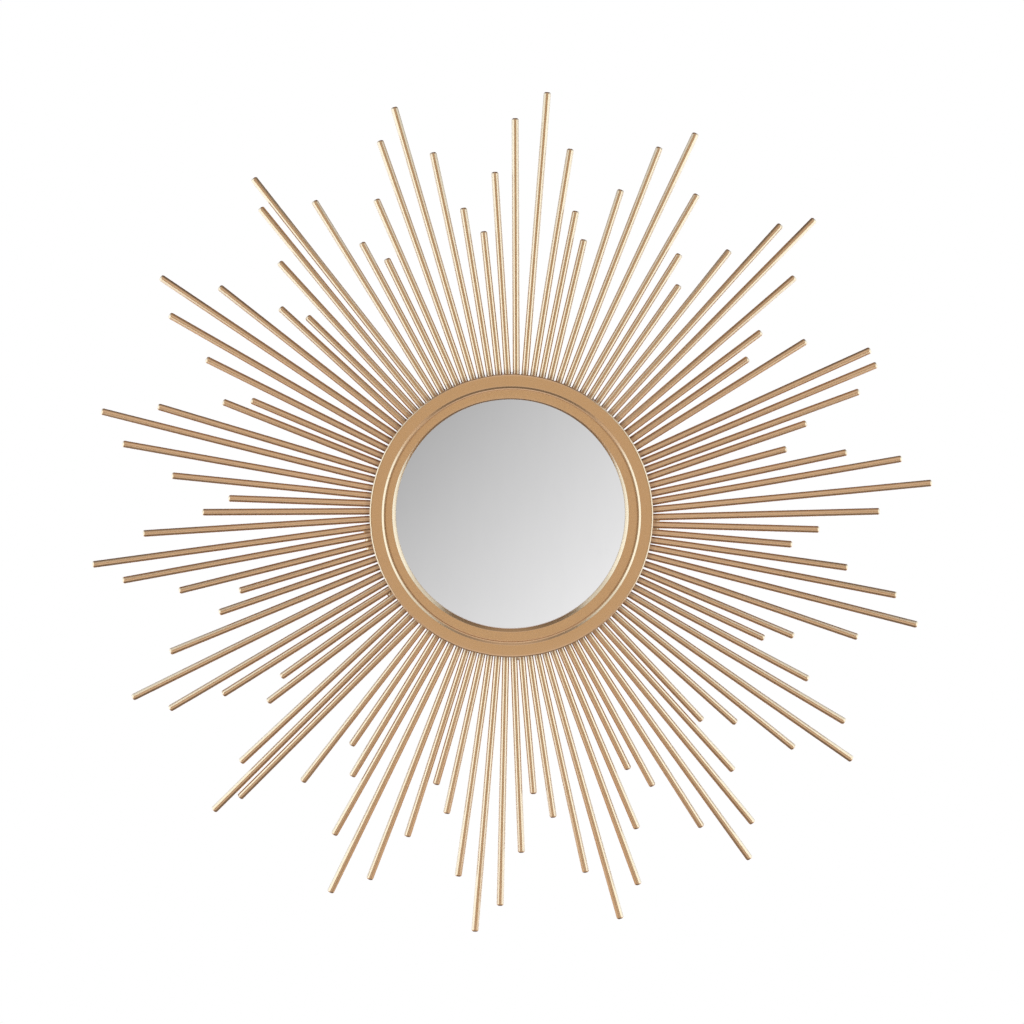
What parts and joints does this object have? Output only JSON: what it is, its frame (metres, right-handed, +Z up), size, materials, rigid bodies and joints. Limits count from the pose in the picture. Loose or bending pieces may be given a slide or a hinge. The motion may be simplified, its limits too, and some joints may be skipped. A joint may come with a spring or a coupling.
{
  "type": "wall mirror",
  "caption": "Round wall mirror in a stepped gold metal frame, ringed by a sunburst of straight round metal rays in a repeating run of lengths, with hinged D-rings behind.",
  "frame": {"origin": "on the wall plane, behind the centre of the crown of rays", "axes": "+Z up as the mirror hangs, +X to the viewer's right, +Y into the wall; the glass faces -Y"},
  "size_m": [0.7492, 0.025, 0.7502],
  "materials": {
    "gold_paint": "soft-sheen metallic gold paint with a fine grain",
    "silvered_glass": "silvered float glass",
    "felt": "dense grey felt",
    "fibreboard": "bare smooth fibreboard",
    "zinc_steel": "bright zinc plate",
    "rubber": "matt"
  },
  "bodies": {
    "mirror": {"front_frame": "gold_paint", "bezel_ring": "gold_paint", "weld_hoop": "gold_paint", "ray_fan_01": "gold_paint", "ray_fan_02": "gold_paint", "ray_fan_03": "gold_paint", "ray_fan_04": "gold_paint", "ray_fan_05": "gold_paint", "ray_fan_06": "gold_paint", "ray_fan_07": "gold_paint", "ray_fan_08": "gold_paint", "ray_fan_09": "gold_paint", "ray_fan_10": "gold_paint", "ray_fan_11": "gold_paint", "ray_fan_12": "gold_paint", "ray_fan_13": "gold_paint", "ray_fan_14": "gold_paint", "ray_fan_15": "gold_paint", "ray_fan_16": "gold_paint", "ray_fan_17": "gold_paint", "ray_fan_18": "gold_paint", "mirror_glass": "silvered_glass", "glass_cushion": "felt", "backing_board": "fibreboard", "board_clip_1": "zinc_steel", "board_clip_2": "zinc_steel", "board_clip_3": "zinc_steel", "board_clip_4": "zinc_steel", "clip_screw_1": "zinc_steel", "clip_screw_2": "zinc_steel", "clip_screw_3": "zinc_steel", "clip_screw_4": "zinc_steel", "hanger_strap_left": "zinc_steel", "hanger_screw_left_1": "zinc_steel", "hanger_screw_left_2": "zinc_steel", "hanger_strap_right": "zinc_steel", "hanger_screw_right_1": "zinc_steel", "hanger_screw_right_2": "zinc_steel", "wall_bumper_1": "rubber", "wall_bumper_2": "rubber", "wall_bumper_3": "rubber", "wall_bumper_4": "rubber"},
    "left_ring": {"hanger_ring_left": "zinc_steel"},
    "right_ring": {"hanger_ring_right": "zinc_steel"}
  },
  "joints": [
    {"name": "left_ring_swing", "type": "hinge", "parent": "mirror", "child": "left_ring", "pos_m": [-0.058, -0.0024, 0.046], "axis": [1, 0, 0], "range_deg": [0, 180]},
    {"name": "right_ring_swing", "type": "hinge", "parent": "mirror", "child": "right_ring", "pos_m": [0.058, -0.0024, 0.046], "axis": [1, 0, 0], "range_deg": [0, 180]}
  ]
}
